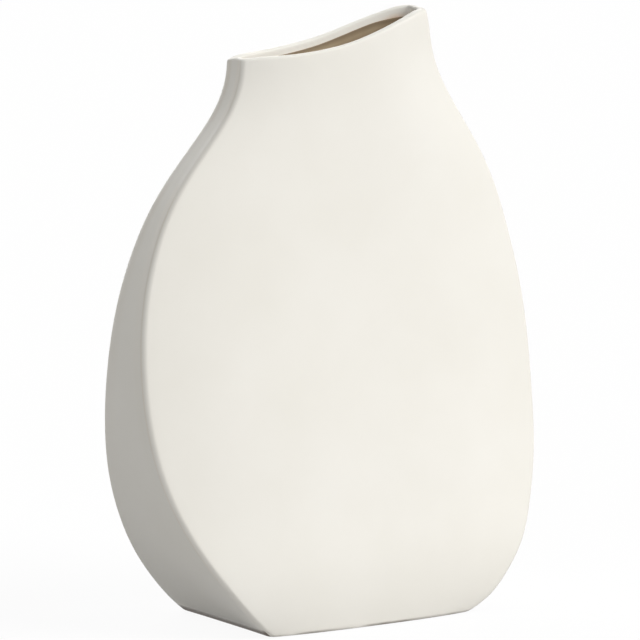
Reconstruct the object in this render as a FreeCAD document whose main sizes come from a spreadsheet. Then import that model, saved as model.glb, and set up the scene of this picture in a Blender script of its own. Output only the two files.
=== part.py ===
import FreeCAD, Part
import math
import os

# Pillow vase, slab built: two bowed panels, two side strips, a base slab and the glaze coat inside.
# Millimetres. The origin is on the ground under the middle of the base, +Z is up, the front faces -Y.

sizes = {
    # height of the rim's tip above the ground, and how far the rim falls from it to its low side
    "vase_height": 399.0,
    "rim_drop": 27.5,
    # outline from the front, each reach measured from the middle of the base
    "base_reach": 77.6,
    "belly_left": 154.0,
    "belly_right": 147.0,
    "neck_left": 71.0,
    "neck_right": 75.0,
    # outline from the side: depth over the side strips, and the gap left inside the neck
    "base_depth": 108.0,
    "neck_gap": 10.0,
    # how far each panel bows out past the side strips
    "base_bow": 5.0,
    "belly_bow": 17.5,
    "mouth_bow": 13.0,
    # clay
    "wall": 5.0,
    "edge_radius": 5.0,
    "foot_bevel": 1.2,
    "foot_lift": 0.6,
    "base_thickness": 7.0,
    # glaze coat
    "glaze_thickness": 0.9,
    "band_depth": 6.0,
    # length by which every cutting shape runs past what it cuts
    "overrun": 8.0,
}

# Where the outline changes, as shares of the vase height: the widest place, the deepest bow of the panels,
# the end of the side strips' taper and the narrowest place of the neck
belly_height_share = 0.416
bow_height_share = 0.501
taper_height_share = 0.782
neck_height_share = 0.937

# Outline from the front, as (height share, reach share). The swell runs from the base at 0 to the belly at
# 1, and the shoulder from the belly at 0 to the neck at 1, where its reach share falls from 1 to 0.
left_swell_shares = [
    (0, 0), (0.048, 0.12), (0.12, 0.268), (0.24, 0.48), (0.41, 0.714), (0.6, 0.888), (0.82, 0.984),
]
right_swell_shares = [
    (0, 0), (0.048, 0.218), (0.12, 0.405), (0.24, 0.63), (0.41, 0.82), (0.6, 0.945), (0.82, 0.995),
]
left_shoulder_shares = [
    (0.05, 1.0), (0.24, 0.945), (0.41, 0.82), (0.565, 0.621), (0.7, 0.355), (0.815, 0.126),
    (0.93, 0.01), (1.0, 0), (1.1, 0.01), (1.2, 0.04),
]
right_shoulder_shares = [
    (0.05, 1.0), (0.24, 0.947), (0.41, 0.84), (0.565, 0.694), (0.7, 0.487), (0.815, 0.267),
    (0.93, 0.088), (1.0, 0.03), (1.1, 0.005), (1.2, 0),
]
# Depth of the side strips, as (height share, depth share): 1 is the base depth and 0 the neck's
taper_shares = [
    (0, 1.0), (0.05, 1.028), (0.13, 0.963), (0.23, 0.773), (0.36, 0.552), (0.51, 0.358),
    (0.67, 0.205), (0.82, 0.095), (1.0, 0.02), (1.15, 0), (1.35, 0),
]
# Bow of the panels, as (height share, bow share): first from base to belly, then from belly to mouth
lower_bow_shares = [(0, 0), (0.1, 0.06), (0.25, 0.3), (0.45, 0.68), (0.7, 0.93), (1.0, 1.0)]
upper_bow_shares = [(0.3, 0.93), (0.6, 0.6), (0.85, 0.2), (1.0, 0.03), (1.25, 0)]
# Control points of a panel across its width, as (half width share, bow share): flat in the middle
bow_shares = [(-1, 0), (-0.833, 0.43), (-0.5, 0.95), (0, 1.025), (0.5, 0.95), (0.833, 0.43), (1, 0)]
# Rim line from left to right, as (share across the neck, share of the rise from its low side to the tip)
rim_shares = [
    (-0.12, -1.1), (0, -0.25), (0.035, -0.07), (0.1, 0.0), (0.2, 0.03), (0.34, 0.11), (0.5, 0.255),
    (0.66, 0.5), (0.82, 0.785), (0.9, 0.925), (0.955, 0.99), (1.0, 0.84), (1.12, -0.5),
]
# Roundings worked out from the wall that carries them
lip_round_share = 0.4
seam_round_share = 0.5
# Length of the handles that make a spline follow an arc, for an arc whose quarter angle has a tangent of 1
arc_handle_share = 4 / 3
# Sections through the height, closer together near the foot
section_steps = 14
section_crowding = 1.35

doc = FreeCAD.newDocument("pillow_vase")
sheet = doc.addObject("Spreadsheet::Sheet", "sizes")
for row, (name, value) in enumerate(sizes.items(), start=1):
    sheet.set(f"A{row}", name)
    sheet.set(f"B{row}", str(value))
    sheet.setAlias(f"B{row}", name)
doc.recompute()


def size(name):
    return float(sheet.get(name))


vase_height = size("vase_height")
belly_height = vase_height * belly_height_share
bow_height = vase_height * bow_height_share
taper_height = vase_height * taper_height_share
neck_height = vase_height * neck_height_share

lip_radius = size("wall") * lip_round_share
seam_radius = size("wall") * seam_round_share
form_top = vase_height + size("overrun")
section_shares = [step / section_steps for step in range(section_steps + 1)]
section_heights = [form_top * share ** section_crowding for share in section_shares]


# Rails: how far the vase reaches at each height

def rail(stations):
    """Smooth curve through (height, reach) stations, whose parameter is the height itself."""
    curve = Part.BSplineCurve()
    points = [FreeCAD.Vector(reach, 0, height) for height, reach in stations]
    curve.interpolate(Points=points, Parameters=[height for height, reach in stations])
    return curve


def stations(shares, low, high, zero, one):
    """Stations between two heights, where share 0 means the first reach and share 1 the second."""
    return [(low + (high - low) * rise, zero + (one - zero) * share) for rise, share in shares]


def side_rail(swell_shares, shoulder_shares, belly_reach, neck_reach):
    swell = stations(swell_shares, 0, belly_height, size("base_reach"), belly_reach)
    shoulder = stations(shoulder_shares, belly_height, neck_height, neck_reach, belly_reach)
    return rail(swell + shoulder)


left_rail = side_rail(left_swell_shares, left_shoulder_shares, size("belly_left"), size("neck_left"))
right_rail = side_rail(right_swell_shares, right_shoulder_shares, size("belly_right"), size("neck_right"))

neck_half_depth = size("neck_gap") / 2 + size("wall")
depth_rail = rail(stations(taper_shares, 0, taper_height, neck_half_depth, size("base_depth") / 2))

lower_bow = stations(lower_bow_shares, 0, bow_height, size("base_bow"), size("belly_bow"))
upper_bow = stations(upper_bow_shares, bow_height, neck_height, size("mouth_bow"), size("belly_bow"))
bow_rail = rail(lower_bow + upper_bow)


def reach(curve, height, inset):
    """Reach of a rail at a height, less an inset measured square to the wall."""
    point, slope = curve.getD1(height)
    return point.x - inset * math.hypot(1, slope.x)


# Forms: the vase's outside, the clay's inside and the glaze's inside, all from the same rails

def spline(poles):
    curve = Part.BSplineCurve()
    curve.buildFromPoles(poles)
    return curve


def panel_poles(left, right, face, bow, height):
    """Control points of a panel's edge at one height, whose two corners lie at the depth called face."""
    middle = (left + right) / 2
    half_width = (right - left) / 2
    return [
        FreeCAD.Vector(middle + half_width * across, face + bow * share, height)
        for across, share in bow_shares
    ]


def rounded_corner(corner, before, after, radius):
    """Arc that rounds a corner between the ways to the points before and after it."""
    back = (before - corner).normalize()
    ahead = (after - corner).normalize()
    half_angle = back.getAngle(ahead) / 2
    leg = radius / math.tan(half_angle)
    handle = radius * arc_handle_share * math.tan(math.pi / 4 - half_angle / 2)
    ends = [corner + back * leg, corner + ahead * leg]
    return spline([ends[0], ends[0] - back * handle, ends[1] - ahead * handle, ends[1]])


def section(height, inset, corner_radius):
    """Closed outline at one height: front bow, right side, rear bow, left side, with rounded corners."""
    left = -reach(left_rail, height, inset)
    right = reach(right_rail, height, inset)
    half_depth = reach(depth_rail, height, inset)
    bow = bow_rail.value(height).x
    front = panel_poles(left, right, -half_depth, -bow, height)
    rear = panel_poles(left, right, half_depth, bow, height)[::-1]
    edges = []
    for panel, other in ((front, rear), (rear, front)):
        start = rounded_corner(panel[0], other[-1], panel[1], corner_radius)
        end = rounded_corner(panel[-1], panel[-2], other[0], corner_radius)
        bowed = spline([start.EndPoint] + panel[1:-1] + [end.StartPoint])
        edges.append([start, bowed, end])
    sides = [
        Part.LineSegment(edges[0][-1].EndPoint, edges[1][0].StartPoint),
        Part.LineSegment(edges[1][-1].EndPoint, edges[0][0].StartPoint),
    ]
    return Part.Wire([curve.toShape() for curve in edges[0] + sides[:1] + edges[1] + sides[1:]])


def add_form(name, inset, corner_radius):
    """Solid through the sections at an inset."""
    form = doc.addObject("Part::Feature", name)
    form.Shape = Part.makeLoft([section(height, inset, corner_radius) for height in section_heights], True)
    return form


outer_form = add_form("outer_form", 0, size("edge_radius"))
clay_form = add_form("clay_form", size("wall"), seam_radius)
glaze_thickness = size("glaze_thickness")
glaze_form = add_form("glaze_form", size("wall") + glaze_thickness, seam_radius - glaze_thickness)


# Cutters

def add_sweep(name, curve, far_points, direction, length):
    """Solid swept both ways from a face that lies between a curve and lines through the far points."""
    corners = [curve.EndPoint] + far_points + [curve.StartPoint]
    lines = [Part.LineSegment(start, end) for start, end in zip(corners, corners[1:])]
    profile = doc.addObject("Part::Feature", name + "_profile")
    profile.Shape = Part.Face(Part.Wire([piece.toShape() for piece in [curve] + lines]))
    sweep = doc.addObject("Part::Extrusion", name)
    sweep.Base = profile
    sweep.DirMode = "Custom"
    sweep.Dir = direction
    sweep.Solid = True
    sweep.Symmetric = True
    sweep.setExpression("LengthFwd", length)
    return sweep


def add_rim_cutter(name, drop):
    """Everything above the rim line, or above a line that lies a drop below it."""
    rise = size("rim_drop")
    low = vase_height - rise - drop
    left = -size("neck_left")
    span = size("neck_right") - left
    points = [FreeCAD.Vector(left + span * across, 0, low + rise * share) for across, share in rim_shares]
    curve = Part.BSplineCurve()
    curve.interpolate(points)
    ceiling = form_top + size("overrun")
    far_points = [FreeCAD.Vector(point.x, 0, ceiling) for point in (points[-1], points[0])]
    return add_sweep(name, curve, far_points, FreeCAD.Vector(0, 1, 0), full_depth)


def add_seam_cutter(name, side):
    """Everything beyond the seam where a panel's turned edge meets the side strips."""
    points = []
    for height in section_heights:
        seam = reach(depth_rail, height, size("wall")) - seam_radius
        points.append(FreeCAD.Vector(0, side * seam, height))
    curve = Part.BSplineCurve()
    curve.interpolate(points)
    beyond = side * (size("base_depth") + size("belly_bow"))
    far_points = [FreeCAD.Vector(0, beyond, point.z) for point in (points[-1], points[0])]
    return add_sweep(name, curve, far_points, FreeCAD.Vector(1, 0, 0), full_width)


def add_block(name, bottom, top, width):
    """Box from the far left across a width, between two heights, all given as expressions."""
    block = doc.addObject("Part::Box", name)
    block.setExpression("Placement.Base.x", "-sizes.belly_left - sizes.overrun")
    block.setExpression("Placement.Base.y", "-sizes.base_depth - sizes.belly_bow")
    block.setExpression("Placement.Base.z", bottom)
    block.setExpression("Length", width)
    block.setExpression("Width", full_depth)
    block.setExpression("Height", top + " - (" + bottom + ")")
    return block


full_width = "2 * (sizes.belly_left + sizes.belly_right)"
full_depth = "2 * (sizes.base_depth + sizes.belly_bow)"
below = "-sizes.overrun"
above = "sizes.vase_height + 2 * sizes.overrun"

rim_cutter = add_rim_cutter("rim_cutter", 0)
glaze_line_cutter = add_rim_cutter("glaze_line_cutter", size("band_depth"))
front_cutter = add_seam_cutter("front_cutter", -1)
rear_cutter = add_seam_cutter("rear_cutter", 1)
under_walls = add_block("under_walls", below, "sizes.foot_lift", full_width)
floor_layer = add_block("floor_layer", "0", "sizes.base_thickness", full_width)
under_glaze = add_block("under_glaze", below, "sizes.base_thickness", full_width)
under_hollow = add_block("under_hollow", below, "sizes.base_thickness + sizes.glaze_thickness", full_width)
left_of_middle = add_block("left_of_middle", below, above, "sizes.belly_left + sizes.overrun")


def combine(kind, name, base, tool):
    result = doc.addObject("Part::" + kind, name)
    result.Label = name
    result.Base = base
    result.Tool = tool
    return result


# Walls: the clay between the outer form and its hollow, open at the rim, with soft lip and bevelled foot

def rings(shape):
    """Faces that run round the hollow, from the foot's to the lip's."""
    around = [face for face in shape.Faces if len(face.Wires) == 2]
    return sorted(around, key=lambda face: face.BoundBox.ZMax)


def numbered(shape, edges, length):
    """The edges as a fillet or a chamfer wants them: number, then length at each side."""
    listed = []
    for number, candidate in enumerate(shape.Edges, start=1):
        if any(candidate.isSame(edge) for edge in edges):
            listed.append((number, length, length))
    return listed


tube = combine("Cut", "tube", outer_form, clay_form)
open_tube = combine("Cut", "open_tube", tube, rim_cutter)
sharp_walls = combine("Cut", "sharp_walls", open_tube, under_walls)
doc.recompute()
soft_lip = doc.addObject("Part::Fillet", "soft_lip")
soft_lip.Base = sharp_walls
soft_lip.Edges = numbered(sharp_walls.Shape, rings(sharp_walls.Shape)[-1].Edges, lip_radius)
doc.recompute()
walls = doc.addObject("Part::Chamfer", "walls")
walls.Base = soft_lip
walls.Edges = numbered(soft_lip.Shape, rings(soft_lip.Shape)[0].OuterWire.Edges, size("foot_bevel"))

# Panels and side strips, which meet face to face along the seams

front_slab = combine("Common", "front_slab", walls, front_cutter)
rear_slab = combine("Common", "rear_slab", walls, rear_cutter)
walls_behind_front = combine("Cut", "walls_behind_front", walls, front_cutter)
strips = combine("Cut", "strips", walls_behind_front, rear_cutter)
left_side_strip = combine("Common", "left_side_strip", strips, left_of_middle)
right_side_strip = combine("Cut", "right_side_strip", strips, left_of_middle)

# Base slab: fills the foot of the hollow and stands a little lower than the walls

base_slab = combine("Common", "base_slab", clay_form, floor_layer)

# Glaze coat: lines the hollow from the base slab up to the glaze line

hollow = combine("Cut", "hollow", glaze_form, under_hollow)
coat_blank = combine("Cut", "coat_blank", clay_form, under_glaze)
coat_below_line = combine("Cut", "coat_below_line", coat_blank, glaze_line_cutter)
inner_glaze = combine("Cut", "inner_glaze", coat_below_line, hollow)

doc.recompute()

pieces = [front_slab, rear_slab, left_side_strip, right_side_strip, base_slab, inner_glaze]
for item in doc.Objects:
    if "Invalid" in item.State or "Error" in item.State:
        raise RuntimeError(item.Name + " did not recompute: " + str(item.State))
for piece in pieces:
    if piece.Shape.isNull() or not piece.Shape.isValid() or len(piece.Shape.Solids) != 1:
        raise RuntimeError(piece.Label + " is not one valid solid")

os.makedirs("parts", exist_ok=True)
for piece in pieces:
    piece.Shape.exportStep("parts/" + piece.Label + ".step")
    print(piece.Label, round(piece.Shape.Volume), "mm3")
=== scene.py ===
import math
import bmesh
import bpy
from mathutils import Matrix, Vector, noise


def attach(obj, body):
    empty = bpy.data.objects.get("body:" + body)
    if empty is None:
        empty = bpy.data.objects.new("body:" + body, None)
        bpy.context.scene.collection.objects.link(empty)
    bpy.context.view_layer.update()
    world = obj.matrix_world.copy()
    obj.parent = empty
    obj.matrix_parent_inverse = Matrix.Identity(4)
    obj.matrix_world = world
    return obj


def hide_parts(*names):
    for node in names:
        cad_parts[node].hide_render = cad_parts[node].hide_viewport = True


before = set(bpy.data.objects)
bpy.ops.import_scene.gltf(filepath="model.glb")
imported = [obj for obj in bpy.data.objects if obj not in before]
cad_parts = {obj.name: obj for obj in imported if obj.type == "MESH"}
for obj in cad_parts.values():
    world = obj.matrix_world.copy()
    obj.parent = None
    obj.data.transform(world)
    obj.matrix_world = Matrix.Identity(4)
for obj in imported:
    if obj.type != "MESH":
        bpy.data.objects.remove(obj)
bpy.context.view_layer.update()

# Pillow vase: a slipped wall, a brown glaze coat inside and a raw clay foot, on the CAD model's outline.
# Sizes are in millimetres, meshes in metres. The front faces -Y, and the foot stands on Z = 0.

mm = 0.001

# The outline, with the CAD model's sizes and shares. Depths are half depths over the side strips, and a bow
# is how far a panel stands out past them.
vaseOutline = {
    "height": 399.0, "baseReach": 77.6,
    "bellyReach": {"left": 154.0, "right": 147.0},
    "neckReach": {"left": 71.0, "right": 75.0},
    "baseDepth": 54.0, "neckDepth": 10.0,
    "baseBow": 5.0, "bellyBow": 17.5, "mouthBow": 13.0,
    # shares of the height: the widest place, the deepest bow, the end of the strips' taper, the neck
    "belly": 0.416, "deepest": 0.501, "taperEnd": 0.782, "neck": 0.937,
    # height share and reach share, from the base at 0 to the belly at 1
    "swell": {
        "left": [
            (0, 0), (0.048, 0.12), (0.12, 0.268), (0.24, 0.48), (0.41, 0.714), (0.6, 0.888), (0.82, 0.984),
        ],
        "right": [
            (0, 0), (0.048, 0.218), (0.12, 0.405), (0.24, 0.63), (0.41, 0.82), (0.6, 0.945), (0.82, 0.995),
        ],
    },
    # height share from the belly at 0 to the neck at 1, reach share from the neck at 0 to the belly at 1
    "shoulder": {
        "left": [
            (0.05, 1.0), (0.24, 0.945), (0.41, 0.82), (0.565, 0.621), (0.7, 0.355), (0.815, 0.126),
            (0.93, 0.01), (1.0, 0), (1.1, 0.01), (1.2, 0.04),
        ],
        "right": [
            (0.05, 1.0), (0.24, 0.947), (0.41, 0.84), (0.565, 0.694), (0.7, 0.487), (0.815, 0.267),
            (0.93, 0.088), (1.0, 0.03), (1.1, 0.005), (1.2, 0),
        ],
    },
    # height share and depth share, from the base depth at 1 to the neck's at 0
    "taper": [
        (0, 1.0), (0.05, 1.028), (0.13, 0.963), (0.23, 0.773), (0.36, 0.552), (0.51, 0.358),
        (0.67, 0.205), (0.82, 0.095), (1.0, 0.02), (1.15, 0), (1.35, 0),
    ],
    # height share and bow share, first up to the deepest bow, then from there to the neck
    "lowerBow": [(0, 0), (0.1, 0.06), (0.25, 0.3), (0.45, 0.68), (0.7, 0.93), (1.0, 1.0)],
    "upperBow": [(0.3, 0.93), (0.6, 0.6), (0.85, 0.2), (1.0, 0.03), (1.25, 0)],
    # a panel across its width is fuller than a parabola in its middle, and less so towards its edges
    "bowFullness": (0.506, -0.262),
    # rim line from left to right, as x and height
    "rim": [
        (-90, 369.2), (-70, 370.5), (-56, 371.5), (-38, 372.65), (-26, 373.9), (-12, 375.9), (4, 379.0),
        (20, 383.5), (34, 388.15), (46, 392.25), (56, 395.6), (62, 397.6), (66, 398.5), (70, 398.9),
        (76, 398.95), (90, 398.9),
    ],
    # how far the rim sinks at each corner, by the signs of x and y, and how far along the rim that reaches
    "cornerDrops": {(-1, -1): 0.5, (-1, 1): 1.4, (1, -1): 0.0, (1, 1): 0.35}, "cornerSpread": 5.0,
    # the front rim lies lower than the rear one towards the tip, at this x
    "frontSink": 2.2, "tipReach": 68.0,
    # the right side leans in at the tip, over the last stretch of its height
    "tipLean": 3.4, "leanFrom": 380.0, "leanRise": 20.0,
    # the glaze line sinks further from one x to the other
    "tipSpan": (46, 66),
    "wall": 5.0, "edgeRadius": 5.0, "seamRadius": 2.5,
    # a side strip lies this much under its edges, and falls off to them by this power
    "stripDish": 0.6, "dishPower": 6,
    # how far the hand-rolled panels waver, over what size, and how differently front and rear do
    "ripple": 0.22, "rippleSize": 70, "rippleShift": 300,
    # rounds of settling: the slopes of a curve, and the rim over a leaning wall
    "curveRounds": 40, "rimRounds": 6,
}


def stations(shares, low, high, zero, one):
    # shares as places between two heights, with sizes between those of share 0 and share 1
    return [(low + (high - low) * rise, zero + (one - zero) * share) for rise, share in shares]


def fairCurve(points):
    # gives each point a slope, so that the curve through them all bends smoothly
    places, values = zip(*points)
    spans = [after - before for before, after in zip(places, places[1:])]
    chords = [(after - before) / span for before, after, span in zip(values, values[1:], spans)]
    slopes = chords + chords[-1:]
    slopes[0] -= spans[0] * (chords[1] - chords[0]) / (spans[0] + spans[1])
    slopes[-1] += spans[-1] * (chords[-1] - chords[-2]) / (spans[-1] + spans[-2])
    for settling in range(vaseOutline["curveRounds"]):
        for at in range(1, len(points) - 1):
            before, after = spans[at - 1], spans[at]
            pull = 3 * (chords[at - 1] * after + chords[at] * before)
            slopes[at] = (pull - after * slopes[at - 1] - before * slopes[at + 1]) / (2 * (before + after))
    return list(zip(places, values, slopes))


def readCurve(curve, place):
    # value and slope at a place, kept between the curve's ends
    last = len(curve) - 1
    place = min(max(place, curve[0][0]), curve[last][0])
    at = 0
    while at < last - 1 and curve[at + 1][0] < place:
        at += 1
    low, start, out = curve[at]
    high, end, into = curve[at + 1]
    span = high - low
    step = (place - low) / span
    out, into = out * span, into * span
    square = 3 * (end - start) - 2 * out - into
    cube = 2 * (start - end) + out + into
    value = start + step * (out + step * (square + step * cube))
    return value, (out + step * (2 * square + 3 * step * cube)) / span


def outlineCurves():
    part = vaseOutline
    belly, deepest, taperEnd, neck = [
        part["height"] * part[name] for name in ("belly", "deepest", "taperEnd", "neck")
    ]
    made = {"rim": fairCurve(part["rim"])}
    for side in ("left", "right"):
        reach = part["bellyReach"][side]
        swell = stations(part["swell"][side], 0, belly, part["baseReach"], reach)
        shoulder = stations(part["shoulder"][side], belly, neck, part["neckReach"][side], reach)
        made[side] = fairCurve(swell + shoulder)
    made["depth"] = fairCurve(stations(part["taper"], 0, taperEnd, part["neckDepth"], part["baseDepth"]))
    lowerBow = stations(part["lowerBow"], 0, deepest, part["baseBow"], part["bellyBow"])
    upperBow = stations(part["upperBow"], deepest, neck, part["mouthBow"], part["bellyBow"])
    made["bow"] = fairCurve(lowerBow + upperBow)
    return made


curves = outlineCurves()


def reachAt(name, height, inset):
    # reach of a curve at a height, less an inset measured square to the wall
    part = vaseOutline
    value, slope = readCurve(curves[name], height)
    above = (height - part["leanFrom"]) / part["leanRise"]
    if name == "right" and above > 0:
        value -= part["tipLean"] * above ** 2
        slope -= part["tipLean"] * 2 * above / part["leanRise"]
    return value - inset * math.hypot(1, slope)


def bowShape(share):
    # share of the bow across a panel, from 1 in its middle to 0 at its side edge
    wide, steep = vaseOutline["bowFullness"]
    return (1 - share ** 2) * (1 + wide * share ** 2 + steep * share ** 4)


def cornerRadius(inset):
    # from the outer edge's radius to the inner seam's through the wall, and smaller further in
    part = vaseOutline
    if inset <= part["wall"]:
        return part["edgeRadius"] + (part["seamRadius"] - part["edgeRadius"]) * inset / part["wall"]
    return part["seamRadius"] - (inset - part["wall"])


# The ring that every piece is raised from: its columns, and how they and the rows are spaced.
ring = {
    "panelColumns": 28, "stripColumns": 6, "cornerColumns": 3,
    "crowding": 1.12,  # draws the rows together near the foot
    "smoothing": 1,  # subdivision levels
    "mergeUnder": 0.01,  # vertices nearer than this are doubles
    "sameLevel": 0.001,  # an edge is level where its ends differ by less, before it is set on the outline
}


def columnShare(place, columns):
    # share along a side between its rounded corners, and how far round a corner the column lies
    bend = ring["cornerColumns"]
    count = columns / 2 + bend
    step = abs(place) * count
    if step <= columns / 2:
        return math.copysign(step / (columns / 2), place), 0
    return math.copysign(1, place), 1 - (step - columns / 2) / bend


def sectionPoint(across, along, height, inset):
    # place on the outline at one height; across and along are the ring's own columns, from -1 to 1
    part = vaseOutline
    left = -reachAt("left", height, inset)
    right = reachAt("right", height, inset)
    depth = reachAt("depth", height, inset)
    bow = readCurve(curves["bow"], height)[0]
    middle, half = (left + right) / 2, (right - left) / 2
    radius = cornerRadius(inset)
    tilt = math.atan(bow * 2 * (1 + sum(part["bowFullness"])) / half)
    leg = radius / math.tan((math.pi / 2 + tilt) / 2)
    across, along = round(across, 5), round(along, 5)
    onPanel, onStrip = abs(along) == 1, abs(across) == 1
    across, bendAcross = columnShare(across, ring["panelColumns"])
    along, bendAlong = columnShare(along, ring["stripColumns"])
    if (onPanel and onStrip) or bendAcross or bendAlong:
        # on the rounded corner: the turn runs from the strip's side to the panel's
        turn = (math.pi / 2 - tilt) * (0.5 + bendAcross / 2 - bendAlong / 2)
        x = half - radius + radius * math.cos(turn)
        y = depth - leg + radius * math.sin(turn)
        return middle + math.copysign(x, across), math.copysign(y, along)
    if onPanel:
        x = across * (half - radius * (1 - math.sin(tilt)))
        spot = Vector((middle + x, along * part["rippleShift"], height))
        waver = (1 + noise.noise(spot / part["rippleSize"])) / 2
        y = depth + bow * bowShape(abs(x) / half) - part["ripple"] * waver * (1 - across ** 2)
        return middle + x, math.copysign(y, along)
    dish = part["stripDish"] * (1 - along ** part["dishPower"]) ** 2
    return middle + math.copysign(half - dish, across), along * (depth - leg)


def rimLevel(x, y):
    # height of the rim line over one place, with its corners and its front sunk a little
    part = vaseOutline
    height = readCurve(curves["rim"], x)[0]
    reach = reachAt("left" if x < 0 else "right", height, part["wall"] / 2)
    depth = reachAt("depth", height, part["wall"] / 2)
    away = math.hypot(abs(x) - reach, abs(y) - depth)
    corner = (-1 if x < 0 else 1, -1 if y < 0 else 1)
    towardsFront = min(max((1 - y / depth) / 2, 0), 1)
    towardsTip = min(max((1 + x / part["tipReach"]) / 2, 0), 1)
    sink = part["frontSink"] * towardsFront ** 2 * towardsTip
    return height - sink - part["cornerDrops"][corner] * math.exp(-((away / part["cornerSpread"]) ** 2))


rimHeights = {}


def rimAt(across, along):
    # height of the rim line over the middle of the wall in one column
    key = (round(across, 4), round(along, 4))
    if key not in rimHeights:
        height = vaseOutline["height"]
        for settling in range(vaseOutline["rimRounds"]):
            height = rimLevel(*sectionPoint(across, along, height, vaseOutline["wall"] / 2))
        rimHeights[key] = height
    return rimHeights[key]


def tipShare(x):
    # 0 along the rim, rising to 1 at the tip
    start, end = vaseOutline["tipSpan"]
    return min(max((x - start) / (end - start), 0), 1)


def wallPoint(across, along, row, tipDepth):
    # a row says its inset, the height it starts from, how far under the rim it would end and its rise
    inset, base, drop, rise = row
    height = base
    if rise:
        rim = rimAt(across, along)
        if tipDepth:
            drop += tipDepth * tipShare(sectionPoint(across, along, rim, inset)[0])
        height = base + (rim - drop - base) * rise
    x, y = sectionPoint(across, along, height, inset)
    return Vector((x, y, height)) * mm


def pickEdges(piece, wanted):
    # selects the edges for which wanted(edge) holds
    bpy.ops.mesh.select_mode(type="EDGE")
    bpy.ops.mesh.select_all(action="DESELECT")
    cage = bmesh.from_edit_mesh(piece.data)
    for edge in cage.edges:
        if wanted(edge):
            edge.select_set(True)
    bmesh.update_edit_mesh(piece.data)


def level(edge, axis):
    return abs(edge.verts[0].co[axis] - edge.verts[1].co[axis]) < ring["sameLevel"]


def raiseTube(name, rows, tipDepth=0):
    # a ring, raised row by row at one unit a row, then each vertex set on the outline
    bpy.ops.object.select_all(action="DESELECT")
    bpy.ops.mesh.primitive_plane_add(size=2)
    tube = bpy.context.object
    tube.name = name
    tube.data.name = name
    bpy.ops.object.mode_set(mode="EDIT")
    bpy.ops.mesh.delete(type="ONLY_FACE")
    for axis, columns in ((1, "panelColumns"), (0, "stripColumns")):
        pickEdges(tube, lambda edge: level(edge, axis))
        bpy.ops.mesh.subdivide(number_cuts=ring[columns] + 2 * ring["cornerColumns"] - 1)
    bpy.ops.mesh.select_all(action="SELECT")
    for row in rows[1:]:
        bpy.ops.mesh.extrude_region_move(TRANSFORM_OT_translate={"value": (0, 0, 1)})
    bpy.ops.object.mode_set(mode="OBJECT")
    for vertex in tube.data.vertices:
        across, along, row = vertex.co
        vertex.co = wallPoint(across, along, rows[round(row)], tipDepth)
    return tube


def closeEnds(piece, middle, inset=0):
    # a face over the open end under the middle height, then one over the end above it
    bpy.ops.object.mode_set(mode="EDIT")
    for upper in (False, True):
        pickEdges(piece, lambda edge: edge.is_boundary and (edge.verts[0].co.z > middle * mm) == upper)
        bpy.ops.mesh.edge_face_add()
        if inset:
            bpy.ops.mesh.inset(thickness=inset * mm)
    bpy.ops.object.mode_set(mode="OBJECT")


def finishPiece(piece):
    # doubles merged, normals outwards, smoothing applied
    bpy.ops.object.mode_set(mode="EDIT")
    bpy.ops.mesh.select_all(action="SELECT")
    bpy.ops.mesh.remove_doubles(threshold=ring["mergeUnder"] * mm)
    bpy.ops.mesh.normals_make_consistent(inside=False)
    bpy.ops.object.mode_set(mode="OBJECT")
    bpy.ops.object.modifier_add(type="SUBSURF")
    smoothing = piece.modifiers[-1]
    smoothing.levels = ring["smoothing"]
    smoothing.render_levels = ring["smoothing"]
    bpy.ops.object.modifier_apply(modifier=smoothing.name)
    bpy.ops.object.shade_smooth()


def roundOver(width, radius, steps):
    # inset and drop over an edge of that width, rounded on both sides
    turns = [math.pi / 2 * step / steps for step in range(steps + 1)]
    rise = [(radius - radius * math.cos(turn), radius - radius * math.sin(turn)) for turn in turns]
    return rise + [(width - inset, drop) for inset, drop in reversed(rise)]


def climb(steps):
    # shares of the rise, closer together near the foot
    return [(step / steps) ** ring["crowding"] for step in range(1, steps)]


# The slipped wall: up the outside, over the lip, down the inside and closed under the foot.
slippedWall = {
    "outerRows": 72, "innerRows": 44, "foot": 0.3,
    "footBevel": 1.2, "softBevel": (0.35, 0.3),  # a bevel's middle row, as shares in and up
    "lip": 1.7, "lipSteps": 5,
}


def buildWall():
    part = slippedWall
    thickness = vaseOutline["wall"]
    foot, lip, bevel = part["foot"], part["lip"], part["footBevel"]
    inwards, upwards = part["softBevel"]
    rows = [(bevel, foot, 0, 0), (bevel * inwards, foot + bevel * upwards, 0, 0), (0, foot + bevel, 0, 0)]
    rows += [(0, foot + bevel, lip, rise) for rise in climb(part["outerRows"])]
    rows += [(inset, foot, drop, 1) for inset, drop in roundOver(thickness, lip, part["lipSteps"])]
    rows += [(thickness, foot, lip, rise) for rise in reversed(climb(part["innerRows"]))]
    rows.append((thickness, foot, 0, 0))
    wall = raiseTube("slippedWall", rows)
    bpy.ops.object.mode_set(mode="EDIT")
    pickEdges(wall, lambda edge: edge.is_boundary)
    bpy.ops.mesh.bridge_edge_loops()
    bpy.ops.object.mode_set(mode="OBJECT")
    finishPiece(wall)
    return wall


wall = buildWall()
print("wall:", len(wall.data.polygons), "faces")


# The brown glaze: a thin coat from the floor of the vase up to the glaze line, with a beaded edge.
glazeCoat = {
    "outerRows": 24, "innerRows": 60, "beadSteps": 3, "floor": 7.0, "thickness": 0.9,
    "bandDepth": 5.0, "tipDepth": 2.5,  # how far under the rim it ends, and how much further at the tip
}


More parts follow.
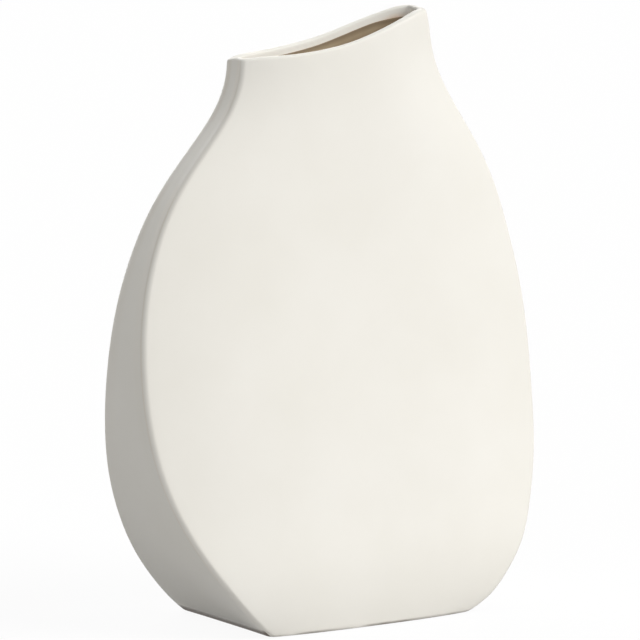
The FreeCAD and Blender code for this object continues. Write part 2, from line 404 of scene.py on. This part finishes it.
def buildCoat():
    part = glazeCoat
    near = vaseOutline["wall"]
    far = near + part["thickness"]
    low, high = part["floor"], part["floor"] + part["thickness"]
    rows = [(near, low, 0, 0)]
    rows += [(near, low, part["bandDepth"], rise) for rise in climb(part["outerRows"])]
    bead = roundOver(part["thickness"], part["thickness"] / 2, part["beadSteps"])
    rows += [(near + inset, low, part["bandDepth"] + drop, 1) for inset, drop in bead]
    rows += [(far, high, part["bandDepth"], rise) for rise in reversed(climb(part["innerRows"]))]
    rows.append((far, high, 0, 0))
    coat = raiseTube("brownGlaze", rows, part["tipDepth"])
    closeEnds(coat, (low + high) / 2)
    finishPiece(coat)
    return coat


coat = buildCoat()
print("glaze:", len(coat.data.polygons), "faces")


# The raw clay foot: the base slab between the walls, flat on the ground.
clayFoot = {"thickness": 7.0, "bevel": 0.6, "softBevel": 0.3, "rows": 6, "inset": 4.0}


def buildFoot():
    part = clayFoot
    near, bevel, soft = vaseOutline["wall"], part["bevel"], part["bevel"] * part["softBevel"]
    rows = [(near + bevel, 0, 0, 0), (near + soft, soft, 0, 0), (near, bevel, 0, 0)]
    for step in range(1, part["rows"] + 1):
        rows.append((near, bevel + (part["thickness"] - bevel) * step / part["rows"], 0, 0))
    foot = raiseTube("clayFoot", rows)
    closeEnds(foot, part["thickness"] / 2, part["inset"])
    finishPiece(foot)
    return foot


foot = buildFoot()
print("foot:", len(foot.data.polygons), "faces")


# Where the slip is thin, and the glaze's dark bead line with painted shade under the lip: lengths under the
# rim for the stripes, and shares of a normal for the seams.
thinSlip = {
    "bandLow": 5.3, "bandWidth": 1.1, "beadShadeLow": 5.8, "beadShadeWidth": 1.6,
    "seam": 0.22, "seamWidth": 0.2,
    "sideways": 0.8,  # a strip's normals point more sideways than this
}


def markDepth(piece, name, centre, width):
    # a stripe along the glaze line, on the faces that look inwards
    stripe = piece.data.attributes.new(name, "FLOAT", "POINT")
    for vertex in piece.data.vertices:
        place, normal = vertex.co / mm, vertex.normal
        if place.x * normal.x + place.y * normal.y < 0:
            below = rimLevel(place.x, place.y) - place.z - glazeCoat["tipDepth"] * tipShare(place.x)
            stripe.data[vertex.index].value = min(max(1 - abs(below - centre) / width, 0), 1)


def markSeams(piece):
    # side: the strips. seam: where a strip starts to turn towards a slab, the slip was wiped thinner
    part = thinSlip
    for name in ("seam", "side"):
        piece.data.attributes.new(name, "FLOAT", "POINT")
    seam, side = piece.data.attributes["seam"], piece.data.attributes["side"]
    for vertex in piece.data.vertices:
        normal = vertex.normal
        side.data[vertex.index].value = abs(normal.x) > abs(normal.y)
        if abs(normal.x) > part["sideways"] and vertex.co.x * normal.x > 0:
            away = abs(abs(normal.y) - part["seam"]) / part["seamWidth"]
            seam.data[vertex.index].value = max(1 - away, 0)


markSeams(wall)
markDepth(wall, "band", thinSlip["bandLow"], thinSlip["bandWidth"])
# the glaze's dark upper line: pooled glaze and painted shade under the lip
markDepth(coat, "beadAndShade", thinSlip["beadShadeLow"], thinSlip["beadShadeWidth"])

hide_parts("front_slab", "rear_slab", "left_side_strip", "right_side_strip")
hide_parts("inner_glaze")
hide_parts("base_slab")
for piece, finish in ((wall, "white_slip"), (coat, "brown_glaze"), (foot, "raw_clay")):
    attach(piece, "root")


def newGroup(name, inputs, outputs):
    group = bpy.data.node_groups.new(name, "ShaderNodeTree")
    for label, kind, value in inputs:
        socket = group.interface.new_socket(name=label, in_out="INPUT", socket_type=kind)
        socket.default_value = value
    for label, kind in outputs:
        group.interface.new_socket(name=label, in_out="OUTPUT", socket_type=kind)
    return group


def addNode(tree, kind, place, values=None, **settings):
    # settings go to the node itself, then values to its sockets by name or number
    node = tree.nodes.new(kind)
    node.location = place
    for name, setting in settings.items():
        setattr(node, name, setting)
    for socket, value in (values or {}).items():
        node.inputs[socket].default_value = value
    return node


def buildGrain():
    # two sizes of grain as one height, slow cloudy patches and specks
    group = newGroup(
        "clayGrain",
        [
            ("Fine", "NodeSocketFloat", 1500.0), ("Coarse", "NodeSocketFloat", 260.0),
            ("Cloud", "NodeSocketFloat", 14.0), ("Stretch", "NodeSocketVector", (1.0, 1.0, 1.0)),
        ],
        [("Height", "NodeSocketFloat"), ("Cloud", "NodeSocketFloat"), ("Speck", "NodeSocketFloat")],
    )
    link = group.links.new
    ends = addNode(group, "NodeGroupInput", (-900, 0))
    place = addNode(group, "ShaderNodeTexCoord", (-900, 300))
    fine = addNode(group, "ShaderNodeTexNoise", (-500, 300), {"Detail": 2.0, "Roughness": 0.6})
    coarse = addNode(group, "ShaderNodeTexNoise", (-500, 50), {"Detail": 4.0, "Roughness": 0.55})
    cloud = addNode(group, "ShaderNodeTexNoise", (-500, -200), {"Detail": 3.0, "Roughness": 0.5})
    speck = addNode(group, "ShaderNodeTexVoronoi", (-500, -450), {"Randomness": 1.0})
    stretch = addNode(group, "ShaderNodeVectorMath", (-700, 100), operation="MULTIPLY")
    link(place.outputs["Object"], stretch.inputs[0])
    link(ends.outputs["Stretch"], stretch.inputs[1])
    for node, scale in ((fine, "Fine"), (coarse, "Coarse"), (cloud, "Cloud"), (speck, "Coarse")):
        link(ends.outputs[scale], node.inputs["Scale"])
        link(stretch.outputs[0] if node is not fine else place.outputs["Object"], node.inputs["Vector"])
    height = addNode(group, "ShaderNodeMix", (-200, 200), {"Factor": 0.5})
    link(fine.outputs["Fac"], height.inputs["A"])
    link(coarse.outputs["Fac"], height.inputs["B"])
    result = addNode(group, "NodeGroupOutput", (100, 0))
    link(height.outputs["Result"], result.inputs["Height"])
    link(cloud.outputs["Fac"], result.inputs["Cloud"])
    link(speck.outputs["Distance"], result.inputs["Speck"])
    return group


grain = buildGrain()


def addGrain(tree, place, values):
    return addNode(tree, "ShaderNodeGroup", place, values, node_tree=grain)


def addMask(tree, place, span, source, link):
    # stretches a value between the span's two ends to 0 and 1
    low, high = span
    node = addNode(tree, "ShaderNodeMapRange", place, {"From Min": low, "From Max": high})
    link(source, node.inputs["Value"])
    return node.outputs["Result"]


def addTint(tree, place, mask, first, second, link):
    # mixes two colours, each a value or a link; 6, 7 and 2 are the Mix node's colour sockets
    node = addNode(tree, "ShaderNodeMix", place, data_type="RGBA")
    link(mask, node.inputs[0])
    for socket, colour in ((6, first), (7, second)):
        if isinstance(colour, tuple):
            node.inputs[socket].default_value = colour
        else:
            link(colour, node.inputs[socket])
    return node.outputs[2]


def addRoughness(tree, place, span, source, shader, link):
    smoothest, roughest = span
    node = addNode(tree, "ShaderNodeMapRange", place, {"To Min": smoothest, "To Max": roughest})
    link(source, node.inputs["Value"])
    link(node.outputs["Result"], shader.inputs["Roughness"])


def addBump(tree, place, height, finish, shader, link):
    bump = addNode(
        tree, "ShaderNodeBump", place, {"Strength": finish["bump"], "Distance": finish["bumpDepth"]}
    )
    link(height, bump.inputs["Height"])
    link(bump.outputs["Normal"], shader.inputs["Normal"])


def newFinish(name):
    material = bpy.data.materials.new(name)
    material.use_nodes = True
    tree = material.node_tree
    return material, tree, tree.nodes["Principled BSDF"], tree.links.new


# Matte white slip. Over a foot span, two heights in metres, the foot darkens from the first to the second:
# painted contact shade all along the strips, and rubbed slip with painted shade in patches along the
# panels.
slipFinish = {
    "colour": (0.835, 0.815, 0.760, 1), "cloudy": (0.800, 0.778, 0.715, 1), "cloudySpan": (0.3, 0.75),
    "thin": (0.70, 0.62, 0.50, 1), "thinSpan": (0.0, 1.5),
    "band": (0.72, 0.52, 0.36, 1), "bandSpan": (0.0, 1.4),
    # foot: a dark tint, painted contact shade along the strips and rubbed slip with painted shade on the
    # panels
    "foot": (0.15, 0.12, 0.095, 1), "panelRubAndShade": (0.0026, 0.0014), "stripFootShade": (0.0062, 0.0036),
    "patchSpan": (0.45, 0.62),
    "roughness": (0.52, 0.64), "specular": 0.5, "bump": 0.12, "bumpDepth": 0.0004,
    "grain": {"Fine": 1700.0, "Coarse": 240.0, "Cloud": 13.0},
}


def makeSlip():
    part = slipFinish
    material, tree, shader, link = newFinish("whiteSlip")
    clay = addGrain(tree, (-1000, 0), part["grain"])
    cloudy = addMask(tree, (-700, 200), part["cloudySpan"], clay.outputs["Cloud"], link)
    tint = addTint(tree, (-450, 300), cloudy, part["colour"], part["cloudy"], link)
    seam = addNode(tree, "ShaderNodeAttribute", (-1000, -300), attribute_name="seam")
    band = addNode(tree, "ShaderNodeAttribute", (-1000, -500), attribute_name="band")
    side = addNode(tree, "ShaderNodeAttribute", (-1000, 750), attribute_name="side")
    # the seams, thinner where the patches are
    worn = addNode(tree, "ShaderNodeMath", (-700, -200), operation="MULTIPLY")
    link(seam.outputs["Fac"], worn.inputs[0])
    link(clay.outputs["Cloud"], worn.inputs[1])
    thin = addMask(tree, (-500, -200), part["thinSpan"], worn.outputs[0], link)
    tint = addTint(tree, (-250, 200), thin, tint, part["thin"], link)
    # the warm line over the glaze
    warm = addMask(tree, (-500, -450), part["bandSpan"], band.outputs["Fac"], link)
    tint = addTint(tree, (-50, 150), warm, tint, part["band"], link)
    # the foot's dark tint: rubbed slip with painted shade in patches along the panels, painted contact
    # shade all along the strips
    where = addNode(tree, "ShaderNodeTexCoord", (-1000, 500))
    split = addNode(tree, "ShaderNodeSeparateXYZ", (-800, 500))
    link(where.outputs["Object"], split.inputs[0])
    lowPanel = addMask(tree, (-500, 500), part["panelRubAndShade"], split.outputs["Z"], link)
    lowStrip = addMask(tree, (-500, 900), part["stripFootShade"], split.outputs["Z"], link)
    patch = addMask(tree, (-800, 700), part["patchSpan"], clay.outputs["Cloud"], link)
    patched = addNode(tree, "ShaderNodeMath", (-300, 600), operation="MULTIPLY")
    link(lowPanel, patched.inputs[0])
    link(patch, patched.inputs[1])
    rubAndShade = addNode(tree, "ShaderNodeMix", (-100, 600))
    link(side.outputs["Fac"], rubAndShade.inputs[0])
    link(patched.outputs[0], rubAndShade.inputs[2])
    link(lowStrip, rubAndShade.inputs[3])
    tint = addTint(tree, (100, 300), rubAndShade.outputs[0], tint, part["foot"], link)
    link(tint, shader.inputs["Base Color"])
    addRoughness(tree, (-250, -50), part["roughness"], clay.outputs["Height"], shader, link)
    shader.inputs["Specular IOR Level"].default_value = part["specular"]
    addBump(tree, (-250, -350), clay.outputs["Height"], part, shader, link)
    return material


# Brown glaze with runs down the wall, dark along its upper edge: the glaze pooled in a bead there, with
# painted shade of the step under the lip.
glazeFinish = {
    # edge: the dark upper line, pooled glaze darkened further by painted shade
    "colour": (0.50, 0.40, 0.27, 1), "pooled": (0.34, 0.255, 0.16, 1), "edge": (0.16, 0.11, 0.06, 1),
    "runSpan": (0.35, 0.75), "roughness": (0.30, 0.48), "bump": 0.15, "bumpDepth": 0.0005,
    "grain": {"Fine": 900.0, "Coarse": 180.0, "Cloud": 30.0, "Stretch": (1.0, 1.0, 0.22)},
}


def makeGlaze():
    part = glazeFinish
    material, tree, shader, link = newFinish("brownGlaze")
    clay = addGrain(tree, (-900, 0), part["grain"])
    runs = addMask(tree, (-600, 200), part["runSpan"], clay.outputs["Cloud"], link)
    tint = addTint(tree, (-350, 250), runs, part["colour"], part["pooled"], link)
    beadAndShade = addNode(tree, "ShaderNodeAttribute", (-600, 450), attribute_name="beadAndShade")
    # the dark line along the glaze's upper edge: pooled glaze and painted shade under the lip
    tint = addTint(tree, (-100, 250), beadAndShade.outputs["Fac"], tint, part["edge"], link)
    link(tint, shader.inputs["Base Color"])
    addRoughness(tree, (-350, -50), part["roughness"], clay.outputs["Cloud"], shader, link)
    addBump(tree, (-350, -350), clay.outputs["Height"], part, shader, link)
    return material


# Bare fired clay with sandy patches and iron specks.
clayFinish = {
    "colour": (0.36, 0.25, 0.165, 1), "sandy": (0.50, 0.38, 0.27, 1), "iron": (0.10, 0.06, 0.04, 1),
    "sandySpan": (0.3, 0.7), "speckSpan": (0.16, 0.05),
    "roughness": (0.86, 0.97), "bump": 0.35, "bumpDepth": 0.0006,
    "grain": {"Fine": 1300.0, "Coarse": 420.0, "Cloud": 40.0},
}


def makeClay():
    part = clayFinish
    material, tree, shader, link = newFinish("rawClay")
    clay = addGrain(tree, (-900, 0), part["grain"])
    patches = addMask(tree, (-600, 200), part["sandySpan"], clay.outputs["Cloud"], link)
    tint = addTint(tree, (-350, 250), patches, part["colour"], part["sandy"], link)
    specks = addMask(tree, (-600, -200), part["speckSpan"], clay.outputs["Speck"], link)
    tint = addTint(tree, (-150, 200), specks, tint, part["iron"], link)
    link(tint, shader.inputs["Base Color"])
    addRoughness(tree, (-350, -50), part["roughness"], clay.outputs["Height"], shader, link)
    addBump(tree, (-350, -350), clay.outputs["Height"], part, shader, link)
    return material


for piece, material in ((wall, makeSlip()), (coat, makeGlaze()), (foot, makeClay())):
    piece.data.materials.clear()
    piece.data.materials.append(material)
print("finishes set")


# Floor, backdrop and light. The white share is how much of the floor's white takes no shadow.
studio = {
    "floorSize": 60, "floorSeen": (1.0, 1.0, 1.0, 1), "floorBounce": (0.46, 0.455, 0.45, 1),
    "whiteShare": 0.93, "world": (0.97, 0.98, 1.0, 1), "worldStrength": 0.15, "white": (1, 1, 1, 1),
}
# azimuth from the front towards +X, elevation, strength, colour, width in degrees
lamps = {
    "key": (42, 33, 2.70, (1.0, 0.995, 0.985), 40),
    "fill": (-48, 5, 1.32, (1.0, 1.0, 1.0), 60),
    "rear": (166, 24, 1.95, (1.0, 0.995, 0.985), 60),
}
lampDistance = 2.0


def towards(azimuth, elevation):
    # way from the vase to a place seen at those angles, in degrees
    turn, lift = math.radians(azimuth), math.radians(elevation)
    return Vector((math.sin(turn) * math.cos(lift), -math.cos(turn) * math.cos(lift), math.sin(lift)))


def addSeen(tree, link):
    # 1 for what the camera, a gloss or a clear material sees, 0 for light that bounces
    path = addNode(tree, "ShaderNodeLightPath", (-800, 300))
    seen = addNode(tree, "ShaderNodeMath", (-600, 300), operation="MAXIMUM")
    link(path.outputs["Is Camera Ray"], seen.inputs[0])
    link(path.outputs["Is Glossy Ray"], seen.inputs[1])
    through = addNode(tree, "ShaderNodeMath", (-400, 300), operation="MAXIMUM")
    link(seen.outputs[0], through.inputs[0])
    link(path.outputs["Is Transmission Ray"], through.inputs[1])
    return through.outputs[0]


def buildFloor():
    bpy.ops.object.select_all(action="DESELECT")
    bpy.ops.mesh.primitive_plane_add(size=studio["floorSize"])
    floor = bpy.context.object
    floor.name = "floor"
    material = bpy.data.materials.new("floor")
    material.use_nodes = True
    tree = material.node_tree
    link = tree.links.new
    tree.nodes.remove(tree.nodes["Principled BSDF"])
    end = tree.nodes["Material Output"]
    bounce = addNode(tree, "ShaderNodeBsdfDiffuse", (-400, 0), {"Color": studio["floorBounce"]})
    pale = addNode(tree, "ShaderNodeBsdfDiffuse", (-400, -200), {"Color": studio["floorSeen"]})
    white = addNode(tree, "ShaderNodeEmission", (-400, -400), {"Strength": 1.0})
    washed = addNode(tree, "ShaderNodeMixShader", (-150, -250), {"Fac": studio["whiteShare"]})
    link(pale.outputs[0], washed.inputs[1])
    link(white.outputs[0], washed.inputs[2])
    both = addNode(tree, "ShaderNodeMixShader", (50, 0))
    link(addSeen(tree, link), both.inputs["Fac"])
    link(bounce.outputs[0], both.inputs[1])
    link(washed.outputs[0], both.inputs[2])
    link(both.outputs[0], end.inputs["Surface"])
    floor.data.materials.append(material)


def buildWorld():
    world = bpy.data.worlds.new("studio")
    bpy.context.scene.world = world
    world.use_nodes = True
    tree = world.node_tree
    link = tree.links.new
    soft = tree.nodes["Background"]
    soft.inputs["Color"].default_value = studio["world"]
    soft.inputs["Strength"].default_value = studio["worldStrength"]
    white = addNode(tree, "ShaderNodeBackground", (0, -200), {"Color": studio["white"], "Strength": 1.0})
    both = addNode(tree, "ShaderNodeMixShader", (200, 0))
    link(addSeen(tree, link), both.inputs["Fac"])
    link(soft.outputs[0], both.inputs[1])
    link(white.outputs[0], both.inputs[2])
    link(both.outputs[0], tree.nodes["World Output"].inputs["Surface"])


def hangLamps():
    for name, (azimuth, elevation, strength, colour, width) in lamps.items():
        data = bpy.data.lights.new(name, "SUN")
        data.energy = strength
        data.color = colour
        data.angle = math.radians(width)
        lamp = bpy.data.objects.new(name, data)
        bpy.context.scene.collection.objects.link(lamp)
        way = towards(azimuth, elevation)
        lamp.location = way * lampDistance
        lamp.rotation_euler = way.to_track_quat("Z", "Y").to_euler()


buildFloor()
buildWorld()
hangLamps()


# The camera stands at the photo's angle, with places and distances in metres.
cameraPlace = {
    "azimuth": -33.03, "elevation": 8.0, "distance": 3.2, "aim": (-0.0048, 0, 0.1951),
    "lens": 274.6, "sensor": 36, "farthest": 200,
}


def addCamera():
    part = cameraPlace
    back = towards(part["azimuth"], part["elevation"])
    data = bpy.data.cameras.new("photoCamera")
    data.lens = part["lens"]
    data.sensor_width = part["sensor"]
    data.clip_end = part["farthest"]
    camera = bpy.data.objects.new("photoCamera", data)
    bpy.context.scene.collection.objects.link(camera)
    camera.location = Vector(part["aim"]) + back * part["distance"]
    camera.rotation_euler = back.to_track_quat("Z", "Y").to_euler()
    bpy.context.scene.camera = camera


addCamera()
bpy.context.scene.view_settings.view_transform = "Standard"
print("studio set")
